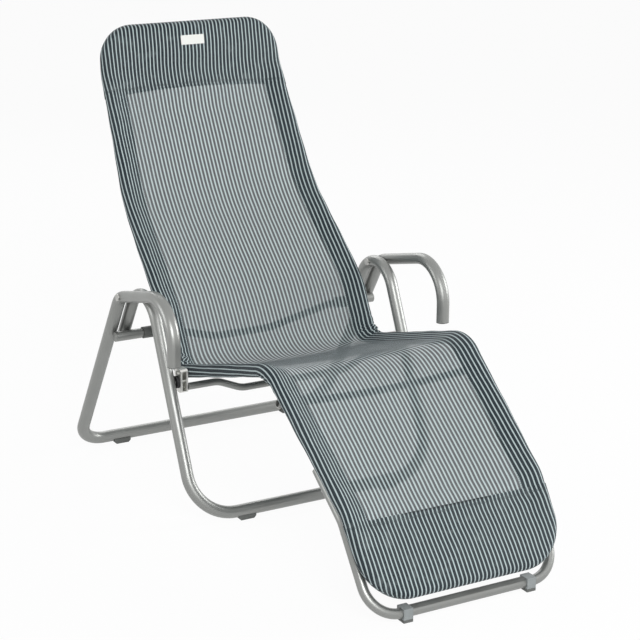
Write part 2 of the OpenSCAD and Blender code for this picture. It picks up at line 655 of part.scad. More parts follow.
// The slot that leaves a bracket its two cheeks, its back and its ends
module bracket_slot() {
    side_plane(bracket_in + bracket_wall)
        translate([tilt_at[0] - bracket_w, bracket_low + bracket_wall])
            linear_extrude(bracket_out - bracket_in - 2 * bracket_wall)
                square([1.5 * bracket_w - bracket_wall, bracket_h - 2 * bracket_wall]);
}
module bracket(right) {
    color(silver) one_side(right) difference() {
        side_plane(bracket_in) translate([tilt_at[0], bracket_low + bracket_h / 2, 0])
            linear_extrude(bracket_out - bracket_in) round_plate(bracket_w, bracket_h, bracket_w / 5);
        bracket_slot();
        in_place() translate([0, tilt_at[0], tilt_at[1]])
            lying_cylinder(tilt_bolt_d + 2 * run_gap, bracket_in - over, bracket_out + over);
        in_place() translate([0, rail_at_bracket[0], rail_at_bracket[1]])
            lying_cylinder(screw_d + 2 * screw_gap, bracket_in - over, bracket_out + over);
    }
}
module bracket_screws() {
    color(silver) both_sides() in_place() translate([0, rail_at_bracket[0], rail_at_bracket[1]]) {
        lying_cylinder(screw_d, bracket_in, bracket_out);
        lying_cylinder(screw_head_d, bracket_out, bracket_out + screw_head_t);
    }
}
module seat_cross_tube() {
    reach = bracket_in - seam;
    color(silver) in_place() translate([0, seat_tube_at[0], seat_tube_at[1]]) rotate([90, 0, 0])
        dipped_tube(reach, seat_flat_share * reach, seat_tube_dip, seat_tube_slope, seat_tube_r)
            round_wall(cross_tube_d, tube_wall);
}
module knee_place() {
    in_place() translate([0, knee_tube_at[0], knee_tube_at[1]]) rotate([rise(knee_mark), 0, 0]) children();
}
module knee_cross_tube() {
    a = asin(knee_tube_half / knee_tube_r);
    color(silver) difference() {
        knee_place() rotate([90, 0, 0]) translate([0, knee_tube_r - knee_tube_bow, 0]) rotate(-90 - a)
            rotate_extrude(angle = 2 * a, $fn = 8 * bend_fn) translate([knee_tube_r, 0])
                round_wall(cross_tube_d, tube_wall);
        knee_screw_bores();
    }
}
module knee_screw_place() {
    both_sides() knee_place() translate([knee_screw_x, 0, -knee_screw_drop])
        rotate([0, -asin(knee_screw_x / knee_tube_r), 0]) children();
}
module knee_screw_bores() {
    knee_screw_place()
        cylinder(d = screw_d + 2 * screw_gap, h = 4 * cross_tube_d, center = true, $fn = round_fn);
}
module knee_screws() {
    low = -cross_tube_d / 2 - seam;
    color(silver) knee_screw_place() {
        translate([0, 0, low]) cylinder(d = screw_d, h = cross_tube_d + seam, $fn = round_fn);
        translate([0, 0, low - screw_head_t]) cylinder(d = screw_head_d, h = screw_head_t, $fn = round_fn);
    }
}
module loop_side() {
    side_plane(loop_half) translate([loop_top[0], loop_top[1], 0]) rotate(180 + leg_rise) children();
}
module foot_loop() {
    reach = loop_half - loop_corner_r + tuck;
    color(silver) difference() {
        union() {
            both_sides() {
                loop_side() run_tube(loop_runs, $tail = tuck) round_wall(loop_tube_d, tube_wall);
                loop_side() at_end(loop_runs) corner(loop_corner_r) round_wall(loop_tube_d, tube_wall);
            }
            in_place() translate([-reach, loop_bar[0], loop_bar[1]])
                rotate([90, 0, 90]) linear_extrude(2 * reach) round_wall(loop_tube_d, tube_wall);
        }
        for (s = post_marks) loop_screw_place(s)
            cylinder(d = screw_d + 2 * screw_gap, h = 4 * loop_tube_d, center = true, $fn = round_fn);
    }
}
module loop_screw_place(s) {
    p = beside(s, loop_half, -loop_drop);
    both_sides() in_place() translate(p) rotate([rise(s), 0, 0]) children();
}
// Screws with the posts that keep the loop off the cloth
module loop_screws() {
    low = -loop_tube_d / 2 - seam;
    color(silver) for (s = post_marks) loop_screw_place(s) {
        translate([0, 0, low]) cylinder(d = screw_d, h = loop_tube_d + 2 * seam, $fn = round_fn);
        translate([0, 0, low - screw_head_t]) cylinder(d = screw_head_d, h = screw_head_t, $fn = round_fn);
        translate([0, 0, loop_tube_d / 2 + seam])
            cylinder(d = screw_head_d, h = post_len(s), $fn = round_fn);
    }
}
module loop_strip() {
    r = loop_tube_d / 2;
    reach = clip_reach - clip_len / 2 - seam;
    color(dark) in_place() translate([-reach, loop_bar[0], loop_bar[1]]) rotate([90, 0, 90])
        linear_extrude(2 * reach) rotate(-strip_turn) difference() {
            circle(r = r + strip_t, $fn = round_fn);
            circle(r = r + seam, $fn = round_fn);
            translate([-2 * r, -2 * r]) square([4 * r, 2 * r + r * strip_cut_share]);
        }
}
module clip(right) {
    r = loop_tube_d / 2 + seam;
    color(silver) one_side(right) in_place() translate([clip_reach - clip_len / 2, loop_bar[0], loop_bar[1]])
        difference() {
            rotate([90, 0, 90]) linear_extrude(clip_len) difference() {
                translate([0, (clip_depth / 2 - r) / 2 - seam / 2])
                    square([clip_depth, clip_depth - r / 3], center = true);
                circle(r = r, $fn = round_fn);
            }
            translate([-over, -clip_depth, -loop_bar_h])
                cube([clip_len + 2 * over, 2 * clip_depth, clip_foot_t]);
        }
}
module clip_foot(right) {
    color(dark) one_side(right) in_place()
        translate([clip_reach - clip_len / 2, loop_bar[0] - clip_depth / 2, 0]) difference() {
            cube([clip_len, clip_depth, clip_foot_t - seam]);
            translate([0, clip_depth / 2, loop_bar_h])
                lying_cylinder(loop_tube_d + 2 * seam, -over, clip_len + over);
        }
}
// The sling between the sleeves, hanging a little below the tubes' centre line
sling_fn = 8;
function sag_at(s) = sling_sag * min(1, (s - sling_from) / foot_pocket_len, (sling_to - s) / head_pocket_len);
function sling_ring(s) =
    let (reach = half(s) - sleeve_out - seam, drop = sag_at(s))
    concat(
        [for (i = [0:sling_fn]) let (u = 1 - 2 * i / sling_fn)
            beside(s, reach * u, -drop * (1 - u * u) + cloth_t / 2)],
        [for (i = [0:sling_fn]) let (u = 2 * i / sling_fn - 1)
            beside(s, reach * u, -drop * (1 - u * u) - cloth_t / 2)]
    );
module sling() {
    color(cloth) in_place() skin([for (s = marks_between(sling_from, sling_to)) sling_ring(s)]);
}
module sleeve(right) {
    places = marks_between(sling_from, sling_to);
    color(cloth) one_side(right) in_place() difference() {
        skin([for (s = places) side_ring(s, sleeve_out)]);
        skin([for (k = [0:len(places) - 1])
            side_ring(places[k] + (k == 0 ? -over : k == len(places) - 1 ? over : 0), sleeve_in)]);
    }
}
module head_pocket() {
    color(cloth) in_place() pocket(path_len - head_pocket_len, 1, head_pocket_len, head_corner_r);
}
module foot_pocket() {
    color(cloth) in_place() pocket(foot_pocket_len, -1, foot_pocket_len, foot_corner_r);
}
module label_tag() {
    p = beside(path_len - label_below, label_aside, pocket_out + seam);
    color("white") in_place() translate(p) rotate([head_rise, 0, 0])
        translate([-label_w / 2, -label_h / 2, 0]) cube([label_w, label_h, label_t]);
}
rear_frame();
stop_bar();
stop_socket(false);  // stop_socket_left
stop_socket(true);  // stop_socket_right
bumper(false);  // bumper_left
bumper(true);  // bumper_right
arm_plug(false);  // arm_plug_left
arm_plug(true);  // arm_plug_right
rear_foot(false);  // rear_foot_left
rear_foot(true);  // rear_foot_right
fold_bolt(false);  // fold_bolt_left
fold_bolt(true);  // fold_bolt_right
fold_washer(false);  // fold_washer_left
fold_washer(true);  // fold_washer_right
front_frame();
branch_plug(false);  // branch_plug_left
branch_plug(true);  // branch_plug_right
front_foot(false);  // front_foot_left
front_foot(true);  // front_foot_right
tilt_bolt(false);  // tilt_bolt_left
tilt_bolt(true);  // tilt_bolt_right
tilt_spacer(false);  // tilt_spacer_left
tilt_spacer(true);  // tilt_spacer_right
side_tube(false);  // side_tube_left
side_tube(true);  // side_tube_right
head_tube();
foot_tube();
bracket(false);  // bracket_left
bracket(true);  // bracket_right
bracket_screws();
seat_cross_tube();
knee_cross_tube();
knee_screws();
foot_loop();
loop_screws();
loop_strip();
clip(false);  // clip_left
clip(true);  // clip_right
clip_foot(false);  // clip_foot_left
clip_foot(true);  // clip_foot_right
sling();
sleeve(false);  // sleeve_left
sleeve(true);  // sleeve_right
head_pocket();
foot_pocket();
label_tag();
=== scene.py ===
import json
import math

import bmesh
import bpy
from mathutils import Matrix, Vector


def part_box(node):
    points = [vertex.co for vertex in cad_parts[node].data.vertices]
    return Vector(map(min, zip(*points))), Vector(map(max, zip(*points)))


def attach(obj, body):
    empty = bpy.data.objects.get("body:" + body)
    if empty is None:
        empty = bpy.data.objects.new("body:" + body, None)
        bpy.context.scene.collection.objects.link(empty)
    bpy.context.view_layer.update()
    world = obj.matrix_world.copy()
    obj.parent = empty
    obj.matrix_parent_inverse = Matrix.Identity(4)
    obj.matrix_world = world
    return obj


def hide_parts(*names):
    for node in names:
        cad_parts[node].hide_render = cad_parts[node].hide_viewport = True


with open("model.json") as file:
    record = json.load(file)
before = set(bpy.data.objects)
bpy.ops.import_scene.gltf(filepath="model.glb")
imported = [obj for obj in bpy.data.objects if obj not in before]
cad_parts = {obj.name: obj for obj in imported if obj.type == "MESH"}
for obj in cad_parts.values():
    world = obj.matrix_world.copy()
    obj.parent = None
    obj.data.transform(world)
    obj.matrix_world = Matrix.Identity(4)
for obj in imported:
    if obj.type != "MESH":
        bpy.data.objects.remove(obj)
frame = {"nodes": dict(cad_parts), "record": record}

bl_info = {
    "name": "Folding reclining chair",
    "version": (1, 0, 0),
    "blender": (4, 5, 0),
    "location": "3D View > Sidebar > Lounger",
    "description": "Dresses the packed lounger with its cloth, finishes, floor, light and camera",
    "category": "Object",
}

LENGTH = {"unit": "LENGTH", "subtype": "DISTANCE"}

# Places in the rail's list of straights and bends, from the foot end
KNEE_BEND, SEAT, SEAT_BEND = 3, 4, 5

# Place of the head part among the rises
HEAD_RISE = 6

# Steps of half the sling's section: over its flat part, over the flap and round the rail
FLAT_STEPS, FLAP_STEPS, ROUND_STEPS = 20, 6, 18

# Steps of a pocket's section: over one side and round one edge, and its rows up to the end tube and round it
SIDE_STEPS, EDGE_STEPS = 36, 12
POCKET_ROWS, END_ROWS = 24, 8

# Name, place, aim, size in metres and power in watts
LAMPS = (
    ("front softbox", (-0.9, -3.4, 2.2), (0, 0, 0.45), 2.2, 100),
    ("right softbox", (3.0, -0.9, 1.3), (0, 0, 0.4), 1.6, 62),
    ("left softbox", (-3.0, 0.9, 1.4), (0, 0, 0.4), 1.6, 22),
    ("back softbox", (0.9, 3.2, 2.4), (0, 0, 0.5), 2.2, 26),
)


class LoungerRails(bpy.types.PropertyGroup):
    """The line of the lounge's side rails, from the foot end to the head end"""

    lengths: bpy.props.FloatVectorProperty(
        name="Part lengths",
        description="Foot, leg, seat, lumbar, back, neck and head part, corner to corner",
        default=(0.16, 0.34, 0.4, 0.14, 0.265, 0.296, 0.09), size=7, unit="LENGTH",
    )
    rises: bpy.props.FloatVectorProperty(
        name="Part rises", description="Rise of each part towards the head",
        default=[math.radians(a) for a in (54, 36.3, -16.4, 61.5, 43, 61.5, 78)], size=7, unit="ROTATION",
    )
    radii: bpy.props.FloatVectorProperty(
        name="Bend radii", description="Bend between each part and the next",
        default=(0.08, 0.075, 0.045, 0.15, 0.25, 0.12), size=6, unit="LENGTH",
    )
    half_shares: bpy.props.FloatVectorProperty(
        name="Width shares", description="Half width at the foot end, at each bend and at the head end",
        default=(0.855, 0.885, 0.94, 0.992, 1, 0.94, 0.865, 0.845), size=8,
    )
    widest: bpy.props.FloatProperty(
        name="Widest half", description="Half width at the widest place, to the rail's centre",
        default=0.238, **LENGTH
    )
    tube: bpy.props.FloatProperty(
        name="Rail tube", description="Diameter of the rail", default=0.025, **LENGTH
    )
    foot_end: bpy.props.FloatVectorProperty(
        name="Foot end", description="Back and height of the foot end tube's centre",
        default=(-0.58618, 0.0602), size=2, unit="LENGTH",
    )
    head_corner: bpy.props.FloatProperty(
        name="Head corner", description="Radius of the rail's corners at the head", default=0.06, **LENGTH
    )
    foot_corner: bpy.props.FloatProperty(
        name="Foot corner", description="Radius of the rail's corners at the foot", default=0.078, **LENGTH
    )


class LoungerCloth(bpy.types.PropertyGroup):
    """The striped mesh cloth"""

    stripe: bpy.props.FloatProperty(
        name="Stripe pitch", description="From one pale stripe to the next", default=0.00894, **LENGTH
    )
    hem: bpy.props.FloatProperty(
        name="Sleeve hem", description="From the rail's centre to the sleeve's seam", default=0.038, **LENGTH
    )
    wrap: bpy.props.FloatProperty(
        name="Sleeve play", description="From the rail's surface to the middle of the cloth",
        default=0.0012, **LENGTH
    )
    pocket_play: bpy.props.FloatProperty(
        name="Pocket play", description="From the rail's surface to the pocket's cloth",
        default=0.0026, **LENGTH
    )
    head_pocket: bpy.props.FloatProperty(
        name="Head pocket", description="From the pocket's edge to the end tube's centre",
        default=0.146, **LENGTH
    )
    foot_pocket: bpy.props.FloatProperty(
        name="Foot pocket", description="From the pocket's edge to the end tube's centre",
        default=0.14, **LENGTH
    )
    pocket_bow: bpy.props.FloatProperty(
        name="Head edge bow", description="How far the head pocket's edge bows towards the head",
        default=0.0125, **LENGTH
    )
    sag: bpy.props.FloatProperty(name="Sag", description="Sag between the rails", default=0.008, **LENGTH)
    bridge: bpy.props.FloatProperty(
        name="Bridging", description="Length over which the taut middle cuts the bends",
        default=0.055, **LENGTH
    )
    ruffle: bpy.props.FloatProperty(
        name="Ruffles", description="Height of the gathers where the seat meets the back",
        default=0.0075, **LENGTH
    )
    skew: bpy.props.FloatProperty(
        name="Pocket skew", description="How far both pocket edges run aslant at the sides",
        default=0.0025, **LENGTH
    )
    cover_dark: bpy.props.FloatProperty(
        name="Dark cover", description="How much one layer hides in a dark stripe",
        default=0.9, subtype="FACTOR"
    )
    cover_pale: bpy.props.FloatProperty(
        name="Pale cover", description="How much one layer hides in a pale stripe",
        default=0.92, subtype="FACTOR"
    )
    dark: bpy.props.FloatVectorProperty(
        name="Dark stripe", description="Slate stripe", default=(0.006, 0.014, 0.021), subtype="COLOR"
    )
    pale: bpy.props.FloatVectorProperty(
        name="Pale stripe", description="Pale grey-green stripe",
        default=(0.46, 0.545, 0.555), subtype="COLOR"
    )
    thread: bpy.props.FloatVectorProperty(
        name="Thread", description="Sewing thread", default=(0.05, 0.065, 0.07), subtype="COLOR"
    )


class LoungerFinish(bpy.types.PropertyGroup):
    """Colours of the tubes and fittings"""

    silver: bpy.props.FloatVectorProperty(
        name="Powder coat", description="Silver-grey coat on the tubes",
        default=(0.262, 0.268, 0.258), subtype="COLOR"
    )
    steel: bpy.props.FloatVectorProperty(
        name="Fixings", description="Zinc on bolts and screws", default=(0.5, 0.5, 0.48), subtype="COLOR"
    )
    rubber: bpy.props.FloatVectorProperty(
        name="Rubber", description="Pads, bumpers and plugs", default=(0.11, 0.115, 0.11), subtype="COLOR"
    )
    spacer: bpy.props.FloatVectorProperty(
        name="Spacers", description="Black spacers on the tilt bolts",
        default=(0.012, 0.012, 0.013), subtype="COLOR"
    )
    clip: bpy.props.FloatVectorProperty(
        name="Clips", description="Moulded clips on the foot bar",
        default=(0.24, 0.26, 0.262), subtype="COLOR"
    )
    label: bpy.props.FloatVectorProperty(
        name="Label", description="Bare white label", default=(0.82, 0.83, 0.8), subtype="COLOR"
    )


class LoungerView(bpy.types.PropertyGroup):
    """Camera, floor and light"""

    eye: bpy.props.FloatVectorProperty(
        name="Camera", description="Where the camera stands",
        default=(-1.8318, -3.2123, 1.5261), size=3, unit="LENGTH"
    )
    yaw: bpy.props.FloatProperty(
        name="Yaw", description="Aim from +Y towards +X", default=0.520846, unit="ROTATION"
    )
    pitch: bpy.props.FloatProperty(
        name="Pitch", description="Aim above the level", default=-0.295489, unit="ROTATION"
    )
    roll: bpy.props.FloatProperty(
        name="Roll", description="Roll of the camera", default=0.0073, unit="ROTATION"
    )
    lens: bpy.props.FloatProperty(name="Lens", description="Focal length in millimetres", default=105.2)
    world: bpy.props.FloatProperty(name="Sky", description="Strength of the even light", default=0.27)


def sizes(name):
    """One of the groups of sizes and colours"""
    return getattr(bpy.context.scene, "lounger_" + name)


class Rail:
    """The rail's line in the side view: straights and round bends, and its half width"""

    def __init__(self):
        rails = sizes("rails")
        turns = [b - a for a, b in zip(rails.rises[:-1], rails.rises[1:])] + [0]
        radii = list(rails.radii) + [0]
        cuts = [0] + [r * math.tan(abs(t) / 2) for r, t in zip(radii, turns)]
        self.parts = []
        self.length = 0
        middles = [0]
        y, z = rails.foot_end
        for i, length in enumerate(rails.lengths):
            rise = rails.rises[i]
            y, z = self.add(length - cuts[i] - cuts[i + 1], y, z, rise, 0)
            if turns[i]:
                bend = radii[i] * abs(turns[i])
                middles.append(self.length + bend / 2)
                y, z = self.add(bend, y, z, rise, turns[i] / bend)
        self.widths = list(zip(middles + [self.length], rails.half_shares))
        self.widest = rails.widest

    def add(self, run, y, z, rise, curve):
        self.parts.append((self.length, run, y, z, rise, curve))
        self.length += run
        return self.place(self.parts[-1], run)

    @staticmethod
    def place(part, run):
        y, z, rise, curve = part[2:]
        if abs(curve) < 1e-9:
            return y + run * math.cos(rise), z + run * math.sin(rise)
        end = rise + curve * run
        return y + (math.sin(end) - math.sin(rise)) / curve, z - (math.cos(end) - math.cos(rise)) / curve

    def part_at(self, s):
        for part in self.parts:
            if s <= part[0] + part[1]:
                return part
        return self.parts[-1]

    def at(self, s):
        part = self.part_at(s)
        return self.place(part, s - part[0])

    def rise(self, s):
        part = self.part_at(s)
        return part[4] + part[5] * (s - part[0])

    def half(self, s):
        """Half width, eased a little where its taper changes"""
        return sum(self.half_there(s + k) for k in (-0.015, 0, 0.015)) / 3

    def half_there(self, s):
        s = max(0, min(s, self.length))
        for (start, low), (end, high) in zip(self.widths[:-1], self.widths[1:]):
            if s <= end:
                return self.widest * (low + (high - low) * (s - start) / (end - start))
        return self.widest * self.widths[-1][1]

    def bridged(self, s, reach):
        """The line as taut cloth takes it, which cuts the bends"""
        spots = [self.at(s + reach * k / 4) for k in range(-4, 5)]
        return sum(p[0] for p in spots) / len(spots), sum(p[1] for p in spots) / len(spots)

    def middle(self, number):
        """Mark in the middle of a straight or bend"""
        mark, length = self.parts[number][:2]
        return mark + length / 2

    def point(self, s, x, n, lift=0, reach=0):
        """Point at x across and n above the line, pulled by lift towards the bridged line"""
        y, z = self.at(s)
        if lift > 0:
            by, bz = self.bridged(s, reach)
            y += (by - y) * lift
            z += (bz - z) * lift
        rise = self.rise(s)
        return Vector((x, y - n * math.sin(rise), z + n * math.cos(rise)))


def smooth(t):
    """Eased step from 0 to 1"""
    t = max(0.0, min(1.0, t))
    return t * t * (3 - 2 * t)


def cloth_piece(name, across, along, place, flat_place, seam_place=None):
    """Sheet of cloth on a grid: place(i, j) gives its points and flat_place(i, j) its UV map in metres.
    seam_place(i, j) gives the distance from the long seam and the mark along it, for a second map"""
    bm = bmesh.new()
    bmesh.ops.create_grid(bm, x_segments=across, y_segments=along, size=0.5)
    low = min(v.co.x for v in bm.verts)
    step = (max(v.co.x for v in bm.verts) - low) / across
    rise = (max(v.co.y for v in bm.verts) - low) / along
    spots = {v.index: (round((v.co.x - low) / step), round((v.co.y - low) / rise)) for v in bm.verts}
    uv = bm.loops.layers.uv.new("cloth")
    sewn = bm.loops.layers.uv.new("seam") if seam_place else None
    for face in bm.faces:
        for loop in face.loops:
            spot = spots[loop.vert.index]
            loop[uv].uv = flat_place(*spot)
            if sewn:
                loop[sewn].uv = seam_place(*spot)
        face.smooth = True
    for vert in bm.verts:
        vert.co = place(*spots[vert.index])
    bmesh.ops.remove_doubles(bm, verts=bm.verts, dist=1e-5)
    return finished(bm, name)


def finished(bm, name):
    """Object of a finished mesh, riding on the lounge"""
    obj = linked(bm, name)
    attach(obj, "lounge")
    return obj


def linked(bm, name):
    """Object of a finished mesh, in the scene"""
    mesh = bpy.data.meshes.new(name)
    bm.to_mesh(mesh)
    bm.free()
    obj = bpy.data.objects.new(name, mesh)
    bpy.context.scene.collection.objects.link(obj)
    return obj


def row_of_marks(rail, start, end, step):
    """Marks along the rail, closer together in its bends"""
    marks = [start]
    while marks[-1] < end - 1e-6:
        bend = rail.part_at(marks[-1] + 1e-6)[5]
        closer = 1 + min(1.2, 0.08 * abs(bend))
        marks.append(min(end, marks[-1] + step / closer))
    return marks


def sleeve_top(half, hem, r, x):
    """Height of the sling's upper side at x, over the flap and the rail"""
    seam = half - hem
    top = math.pi - math.acos(r / hem)
    end = half + r * math.cos(top)
    if x <= seam:
        return 0.0
    if x < end:
        return r * math.sin(top) * (x - seam) / (end - seam)
    return math.sqrt(max(0.0, r * r - (x - half) ** 2))


def sleeve_outline(half, hem, r):
    """Half of the sling's section from its middle, round the rail to the hem: [x, n, length so far]"""
    seam = half - hem
    reach = math.sqrt(hem * hem - r * r)
    top = math.pi - math.acos(r / hem)
    x, n = half + r * math.cos(top), r * math.sin(top)
    spots = [(seam * k / FLAT_STEPS, 0.0, seam * k / FLAT_STEPS) for k in range(FLAT_STEPS + 1)]
    shares = [k / FLAP_STEPS for k in range(1, FLAP_STEPS + 1)]
    for t in shares:
        spots.append((seam + (x - seam) * t, n * t, seam + reach * t))
    for k in range(1, ROUND_STEPS + 1):
        a = top * (1 - 2 * k / ROUND_STEPS)
        spots.append((half + r * math.cos(a), r * math.sin(a), seam + reach + r * (top - a)))
    for t in shares:
        spots.append((x + (seam - x) * t, -n * (1 - t), seam + reach * (1 + t) + 2 * r * top))
    return spots


class Nodes:
    """The nodes of a material or a world, with short calls to add and join them"""

    def __init__(self, owner):
        owner.use_nodes = True
        self.tree = owner.node_tree
        self.tree.nodes.clear()

    def add(self, kind, **settings):
        node = self.tree.nodes.new(kind)
        for key, value in settings.items():
            setattr(node, key, value)
        return node

    def join(self, source, target):
        self.tree.links.new(source, target)

    def sum(self, operation, first, second=0.0, third=0.0):
        """Math node on numbers or outputs"""
        node = self.add("ShaderNodeMath", operation=operation)
        for socket, value in zip(node.inputs, (first, second, third)):
            if isinstance(value, bpy.types.NodeSocket):
                self.join(value, socket)
            else:
                socket.default_value = value
        return node.outputs[0]

    def span(self, value, low, high, to_low=0.0, to_high=1.0, kind="SMOOTHSTEP"):
        node = self.add("ShaderNodeMapRange", interpolation_type=kind)
        self.join(value, node.inputs["Value"])
        for key, number in (("From Min", low), ("From Max", high), ("To Min", to_low), ("To Max", to_high)):
            node.inputs[key].default_value = number
        return node.outputs["Result"]

    def mix(self, share, first, second):
        """Mix of two colours"""
        node = self.add("ShaderNodeMix", data_type="RGBA")
        for socket, value in ((node.inputs[0], share), (node.inputs[6], first), (node.inputs[7], second)):
            if isinstance(value, bpy.types.NodeSocket):
                self.join(value, socket)
            elif socket.type == "RGBA":
                socket.default_value = (*value[:3], 1)
            else:
                socket.default_value = value
        return node.outputs[2]

    def noise(self, where, scale, detail=2.0, rough=0.5):
        node = self.add("ShaderNodeTexNoise")
        self.join(where, node.inputs["Vector"])
        node.inputs["Scale"].default_value = scale
        node.inputs["Detail"].default_value = detail
        node.inputs["Roughness"].default_value = rough
        return node.outputs["Fac"]

    def split(self, vector):
        parts = self.add("ShaderNodeSeparateXYZ")
        self.join(vector, parts.inputs[0])
        return parts.outputs[0], parts.outputs[1]

    def seen_rays(self):
        """1 for rays that the camera sees, in a reflection too, and 0 for those that light the object"""
        rays = self.add("ShaderNodeLightPath")
        seen = self.sum("MAXIMUM", rays.outputs["Is Camera Ray"], rays.outputs["Is Transmission Ray"])
        return self.sum("MAXIMUM", seen, rays.outputs["Is Glossy Ray"])

    def place(self):
        return self.add("ShaderNodeTexCoord").outputs["Object"]


class Look(Nodes):
    """A material with one shader"""

    def __init__(self, name):
        self.material = bpy.data.materials.new(name)
        super().__init__(self.material)
        self.out = self.add("ShaderNodeOutputMaterial")
        self.shader = self.add("ShaderNodeBsdfPrincipled")
        self.join(self.shader.outputs["BSDF"], self.out.inputs["Surface"])

    def stitches(self, across, along, rows):
        """Dashes of thread along the rows, which are given as distances across"""
        step, share, half = 0.0042, 0.64, 0.0006
        beat = self.sum("FRACT", self.sum("MULTIPLY", along, 1 / step))
        dash = self.sum("LESS_THAN", beat, share)
        mask = 0.0
        for row in rows:
            off = self.sum("ABSOLUTE", self.sum("SUBTRACT", across, row))
            mask = self.sum("MAXIMUM", mask, self.sum("LESS_THAN", off, half))
        return self.sum("MULTIPLY", mask, dash)

    def bump(self, height, strength, distance):
        node = self.add("ShaderNodeBump")
        node.inputs["Strength"].default_value = strength
        node.inputs["Distance"].default_value = distance
        self.join(height, node.inputs["Height"])
        self.join(node.outputs["Normal"], self.shader.inputs["Normal"])

    def set(self, **values):
        """Plain values of the shader's sockets"""
        for key, value in values.items():
            self.shader.inputs[key.replace("_", " ")].default_value = value


def mesh_cloth(name, hems=(), seams=False, shaded_stretch=None, mottle=0.0):
    """Striped woven mesh on the UV map in metres. hems are the marks along it of cross seams. seams says that
    it has long seams too, in a UV map of its own. The stretch along it given as start, end and ease gets
    painted shade: its pale stripes are narrowed so that it reads darker, and it is made nearly opaque.
    mottle lightens the dark stripes in patches, where two layers lie stripe on stripe"""
    cloth = sizes("cloth")
    seam_gap, weft, turn = 0.0042, 0.0013, 2 * math.pi
    m = Look(name)
    u, v = m.split(m.add("ShaderNodeUVMap", uv_map="cloth").outputs["UV"])
    where = m.place()
    wander = m.noise(where, 14, 2)
    drift = m.sum("MULTIPLY", m.sum("SUBTRACT", wander, 0.5), cloth.stripe * 0.28)
    wave = m.sum("SINE", m.sum("MULTIPLY", m.sum("ADD", u, drift), turn / cloth.stripe))
    double = 1.0 if mottle else 0.0
    painted_seat_shade = 0.0
    sewn = m.stitches(v, u, hems) if hems else None
    if seams:
        across, along = m.split(m.add("ShaderNodeUVMap", uv_map="seam").outputs["UV"])
        sewn = m.stitches(across, along, (0.0, seam_gap))
        double = m.span(across, -0.003, 0.004)
    # Painted shade on the seat: over this stretch the pale stripes are narrowed, so that the seat reads
    # darker
    if shaded_stretch:
        start, end, ease = shaded_stretch
        opens = m.span(v, end - ease, end + ease, 1.0, 0.0)
        painted_seat_shade = m.sum("MULTIPLY", m.span(v, start - ease, start + ease), opens)
    # Narrower pale stripes: by 0.3 where two layers lie at the long seams, and by 0.45 on the seat, which is
    # painted shade
    thick = m.sum("MAXIMUM", double, painted_seat_shade)
    pale_narrowing_and_shade = m.sum("MULTIPLY_ADD", painted_seat_shade, 0.15, m.sum("MULTIPLY", thick, 0.3))
    pale = m.span(m.sum("SUBTRACT", wave, pale_narrowing_and_shade), 0.05, 0.42)
    core = m.span(wave, 0.75, 1.0)
    warp_threads = m.sum("SINE", m.sum("MULTIPLY", u, turn / (cloth.stripe / 7)))
    weft_threads = m.sum("SINE", m.sum("MULTIPLY", v, turn / weft))
    weave = m.sum("MULTIPLY", warp_threads, weft_threads)
    dark = cloth.dark
    if mottle:
        patches = m.span(m.noise(where, 30, 3, 0.6), 0.54, 0.74, 0.0, mottle)
        dark = m.mix(patches, dark, [c * 0.3 for c in cloth.pale])
    bright = [min(0.82, c * 1.25) for c in cloth.pale]
    colour = m.mix(pale, dark, m.mix(core, cloth.pale, bright))
    colour = m.mix(m.span(weave, -1, 1, 0.0, 0.22), colour, cloth.dark)
    colour = m.mix(m.span(m.noise(where, 420, 2), 0.35, 0.7, 0.0, 0.04), colour, cloth.pale)
    colour = m.mix(m.span(m.noise(where, 5, 2), 0.3, 0.7, 0.0, 0.06), colour, (0.25, 0.29, 0.3))
    if sewn:
        colour = m.mix(m.sum("MULTIPLY", sewn, 0.75), colour, cloth.thread)
    m.join(colour, m.shader.inputs["Base Color"])
    cover = m.span(pale, 0, 1, cloth.cover_dark, cloth.cover_pale, "LINEAR")
    cover = m.sum("SUBTRACT", cover, m.span(weave, 0.4, 1.0, 0.0, 0.1))
    if shaded_stretch:
        cover = m.sum("MAXIMUM", cover, m.sum("MULTIPLY", thick, 0.975))
    m.join(cover, m.shader.inputs["Alpha"])
    m.join(m.span(weave, -1, 1, 0.5, 0.68), m.shader.inputs["Roughness"])
    m.set(Sheen_Weight=0.04, Sheen_Roughness=0.5, Specular_IOR_Level=0.2)
    height = m.sum("MULTIPLY_ADD", wave, -0.3, m.sum("MULTIPLY", weave, 0.5))
    if sewn:
        height = m.sum("ADD", height, m.sum("MULTIPLY", sewn, 0.8))
    m.bump(height, 0.5, 0.0006)
    return m.material


def coat(name, colour):
    """Sprayed coat: fine grain, a little orange peel, dulled and scuffed in places"""
    m = Look(name)
    where = m.place()
    fine = m.noise(where, 900, 3, 0.6)
    peel = m.noise(where, 260, 2)
    patch = m.noise(where, 7, 3)
    scuff = m.noise(where, 60, 4, 0.7)
    tone = m.mix(m.span(fine, 0.3, 0.7, 0.0, 0.16), colour, [min(1, c * 1.35) for c in colour])
    tone = m.mix(m.span(patch, 0.35, 0.7, 0.0, 0.12), tone, [c * 0.78 for c in colour])
    tone = m.mix(m.span(scuff, 0.62, 0.78, 0.0, 0.1), tone, [c * 0.6 for c in colour])
    m.join(tone, m.shader.inputs["Base Color"])
    m.join(m.span(patch, 0.3, 0.75, 0.33, 0.47), m.shader.inputs["Roughness"])
    m.set(Metallic=0.7, Specular_IOR_Level=0.5, Coat_Weight=0.12, Coat_Roughness=0.25)
    m.bump(m.sum("MULTIPLY_ADD", peel, 0.7, m.sum("MULTIPLY", fine, 0.3)), 0.12, 0.0004)
    return m.material


